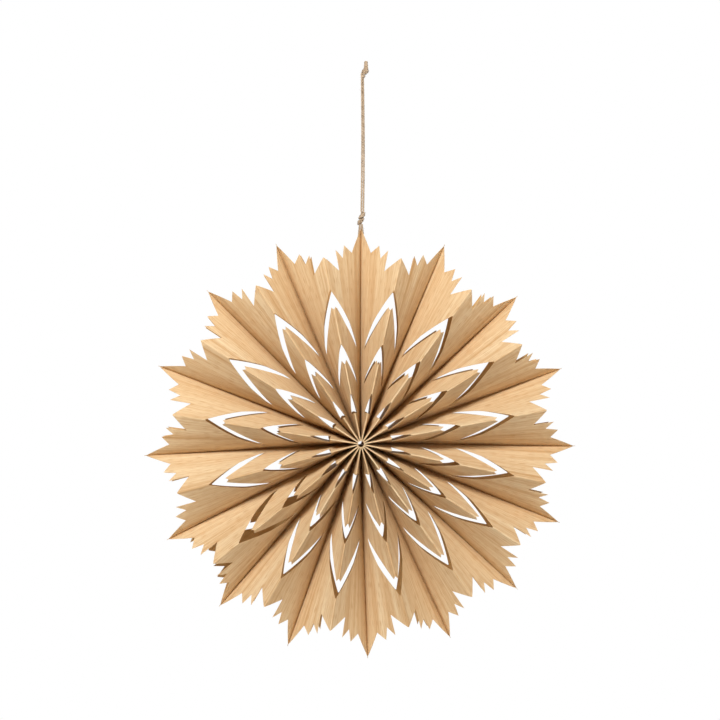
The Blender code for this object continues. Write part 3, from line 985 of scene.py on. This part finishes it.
# %% Open the pockets
# How far each pocket's creases lean clockwise out of its middle plane, as a share of what its sides span
FRONT_LEANS = (
    0.05, 0.05, 0.00, -0.05, 0.05, 0.00, 0.00, -0.10,
    0.05, 0.05, -0.10, 0.00, 0.00, 0.00, 0.05, 0.00,
)
BACK_LEANS = (
    0.10, 0.05, 0.00, 0.00, 0.05, 0.05, 0.00, -0.05,
    -0.10, -0.05, 0.20, -0.10, 0.00, -0.05, 0.05, 0.10,
)


def fold_flat(piece):
    """Gives the piece its own copy of its mesh."""
    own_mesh(piece)


for number, half_angle in enumerate(HALF_ANGLES, 1):
    sizes = {**POCKET_SIZES, "Half Angle": half_angle, "Middle Angle": MIDDLE_TURNS[number - 1]}
    sizes["Front Lean"] = FRONT_LEANS[number - 1]
    sizes["Back Lean"] = BACK_LEANS[number - 1]
    pocket = apply_rule(f"paper_pocket_{number:02d}", flat_sheet(number), POCKET_RULE, sizes)
    thicken(pocket)
    if number in (1, len(HALF_ANGLES)):
        punch(pocket, cutter)
    body = f"pocket_{number:02d}"
    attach(pocket, body)
    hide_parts(body)
    fold_flat(pocket)
    print(pocket.name, len(pocket.data.polygons), "faces")
bpy.data.objects.remove(cutter)

# %% [markdown]
# ## Adhesive
# Between two pockets lies a clear adhesive film. Little of it shows, but without it the papers would hang
# side by side in the air. A real film is see-through, but pressed between two papers it shows their colour,
# so a solid finish with the paper's tint does the same with less work for the light.

# %% Clear adhesive finish
ADHESIVE_MOTTLE = 0.0012

# Pressure-sensitive film: clear, a little yellow and glossy, mottled where the paper has wetted out
adhesive, tree, shader = new_material("clear_adhesive_film")
place = add_node(tree, "ShaderNodeTexCoord").outputs["Object"]
mottle = {"Vector": place, "Scale": 1 / ADHESIVE_MOTTLE, "Detail": 2.0}
mottle = add_node(tree, "ShaderNodeTexNoise", mottle).outputs[0]
tones = add_node(tree, "ShaderNodeValToRGB", {0: mottle})
tones.color_ramp.elements[0].position = 0.35
tones.color_ramp.elements[0].color = linear("d8bd90")
tones.color_ramp.elements[1].position = 0.65
tones.color_ramp.elements[1].color = linear("e8d4b0")
tree.links.new(tones.outputs[0], shader.inputs["Base Color"])
rough = {"Value": mottle, "To Min": 0.25, "To Max": 0.45}
rough = add_node(tree, "ShaderNodeMapRange", rough).outputs[0]
tree.links.new(rough, shader.inputs["Roughness"])
shader.inputs["Specular IOR Level"].default_value = 0.1
print("made", adhesive.name)

# %% [markdown]
# ## Films
# Each film is an upside-down T: a strip up the middle of the pocket's side on a bar along the hub. It fills
# what the two papers leave between them. It is cut from sheet, with corners rounded by the knife, so a flat
# outline is pulled to its thickness and bevelled. It rides on one of the two pockets.

# %% Films
FILM = 2 * PAPER_INSET - PAPER
FILM_HUB_CLEARANCE = 0.0005
FILM_BAR_HEIGHT = 0.004
FILM_BAR_INSET = 0.006
FILM_STRIP_HALF = 0.0015
FILM_HOLE_CLEARANCE = 0.004
FILM_CORNER = 0.0008


def film_mesh(name, turn):
    """A film in the plane of the glue line at that angle."""
    foot = HUB_START + HUB_TRIM + FILM_HUB_CLEARANCE
    bar_top = foot + FILM_BAR_HEIGHT
    bar_end = POCKET_HALF_WIDTH - FILM_BAR_INSET
    end = HOLE_REACH - HOLE_RADIUS - FILM_HOLE_CLEARANCE
    half = ((bar_end, foot), (bar_end, bar_top), (FILM_STRIP_HALF, bar_top), (FILM_STRIP_HALF, end))
    work = bmesh.new()
    edge = [*half, *((-y, z) for y, z in reversed(half))]
    face = work.faces.new([work.verts.new((-FILM / 2, y, z)) for y, z in edge])
    grown = bmesh.ops.extrude_face_region(work, geom=[face])
    moved = [item for item in grown["geom"] if isinstance(item, bmesh.types.BMVert)]
    bmesh.ops.translate(work, vec=(FILM, 0.0, 0.0), verts=moved)
    short = [e for e in work.edges if abs(e.verts[0].co.x - e.verts[1].co.x) > FILM / 2]
    bmesh.ops.bevel(work, geom=short, offset=FILM_CORNER, segments=3, affect="EDGES", profile=0.5)
    bmesh.ops.recalc_face_normals(work, faces=work.faces)
    for point in work.verts:
        x, y, z = point.co
        away = z * math.cos(turn) - x * math.sin(turn)
        point.co = HUB + Vector((x * math.cos(turn) + z * math.sin(turn), y, away))
    mesh = bpy.data.meshes.new(name)
    work.to_mesh(mesh)
    work.free()
    mesh.materials.append(adhesive)
    return mesh


# Each film's node, the number of the pocket that it rides on, and the number of its seam
films = [(f"glue_seam_{number:02d}", number, number) for number in range(1, len(HALF_ANGLES))]
films.append(("closing_strip", 1, 0))
for node, number, seam in films:
    film = add_object(f"film_{node}", film_mesh(node, SEAM_TURNS[seam]))
    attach(film, f"pocket_{number:02d}")
    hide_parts(node)
    fold_flat(film)
print("made", len(films), "films")

# %% [markdown]
# ## Light
# The picture is a studio shot on white. A soft key lamp stands in front at the upper left, and a broad, weak
# lamp at the right fills the shade. A wide lamp behind the star stands for the lit backdrop, and some of its
# light comes through the paper. One big lamp could light it all, but the folds would lose their depth.

# %% Lamps
KEY_SIZE = 0.6
KEY_PLACE = Vector((-0.52, -1.76, 1.22))
KEY_WATTS = 57.0
FILL_SIZE = 1.5
FILL_PLACE = Vector((1.50, -1.50, 0.30))
FILL_WATTS = 11.0
BACKDROP_SIZE = 2.0
BACKDROP_PLACE = Vector((0.0, 1.9, 0.3))
BACKDROP_WATTS = 18.0


def add_lamp(name, size, place, watts):
    """A round lamp at that place from the hub, turned to the hub."""
    data = bpy.data.lights.new(name, "AREA")
    data.shape = "DISK"
    data.size = size
    data.energy = watts
    lamp = add_object(name, data)
    lamp.location = HUB + place
    lamp.rotation_mode = "QUATERNION"
    lamp.rotation_quaternion = (-place).to_track_quat("-Z", "Y")


add_lamp("key_lamp", KEY_SIZE, KEY_PLACE, KEY_WATTS)
add_lamp("fill_lamp", FILL_SIZE, FILL_PLACE, FILL_WATTS)
add_lamp("backdrop_lamp", BACKDROP_SIZE, BACKDROP_PLACE, BACKDROP_WATTS)
print("lit by", len(bpy.data.lights), "lamps")

# %% [markdown]
# ## Background and floor
# The background is white where the camera, a reflection or light on its way through a surface meets it, and
# nearly dark for all other light, so that it doesn't wash out the shade. A pale floor lies well below the
# star. For the camera alone it is lifted near the same white, and it keeps the star's soft shadow.

# %% World and floor
WORLD_LEVEL = 0.04
FLOOR_DROP = 0.62
FLOOR_SIDE = 3.0
FLOOR_LIFT = 0.60
FLOOR_STIPPLE = 1 / 60

world = bpy.data.worlds.new("white_studio")
world.use_nodes = True
tree = world.node_tree
backdrop = tree.nodes["Background"]
ray = add_node(tree, "ShaderNodeLightPath").outputs
seen = {0: ray["Is Camera Ray"], 1: ray["Is Glossy Ray"]}
seen = add_node(tree, MATH, seen, operation="MAXIMUM").outputs[0]
seen = {0: seen, 1: ray["Is Transmission Ray"]}
seen = add_node(tree, MATH, seen, operation="MAXIMUM").outputs[0]
level = add_node(tree, "ShaderNodeMix", {0: seen, 2: WORLD_LEVEL, 3: 1.0}).outputs[0]
tree.links.new(level, backdrop.inputs["Strength"])
backdrop.inputs["Color"].default_value = (1.0, 1.0, 1.0, 1.0)
bpy.context.scene.world = world

# Matt paint: nearly white, with a faint stipple from the roller
pale, tree, shader = new_material("pale_painted_floor")
place = add_node(tree, "ShaderNodeTexCoord").outputs["Object"]
stipple = {"Vector": place, "Scale": 1 / FLOOR_STIPPLE, "Detail": 2.0}
stipple = add_node(tree, "ShaderNodeTexNoise", stipple).outputs[0]
tones = add_node(tree, "ShaderNodeValToRGB", {0: stipple})
tones.color_ramp.elements[0].color = linear("ececea")
tones.color_ramp.elements[1].color = linear("f6f6f5")
tree.links.new(tones.outputs[0], shader.inputs["Base Color"])
shader.inputs["Roughness"].default_value = 0.8
ray = add_node(tree, "ShaderNodeLightPath").outputs
lift = {0: ray["Is Camera Ray"], 1: FLOOR_LIFT}
lift = add_node(tree, MATH, lift, operation="MULTIPLY").outputs[0]
tree.links.new(lift, shader.inputs["Emission Strength"])
half = FLOOR_SIDE / 2
corners = [(-half, -half), (half, -half), (half, half), (-half, half)]
ground = bpy.data.meshes.new("floor")
ground.from_pydata([(x, y, HUB_Z - FLOOR_DROP) for x, y in corners], [], [(0, 1, 2, 3)])
ground.materials.append(pale)
floor = add_object("floor", ground)
bpy.context.scene.view_settings.view_transform = "Standard"
print("floor at", round(HUB_Z - FLOOR_DROP, 3))
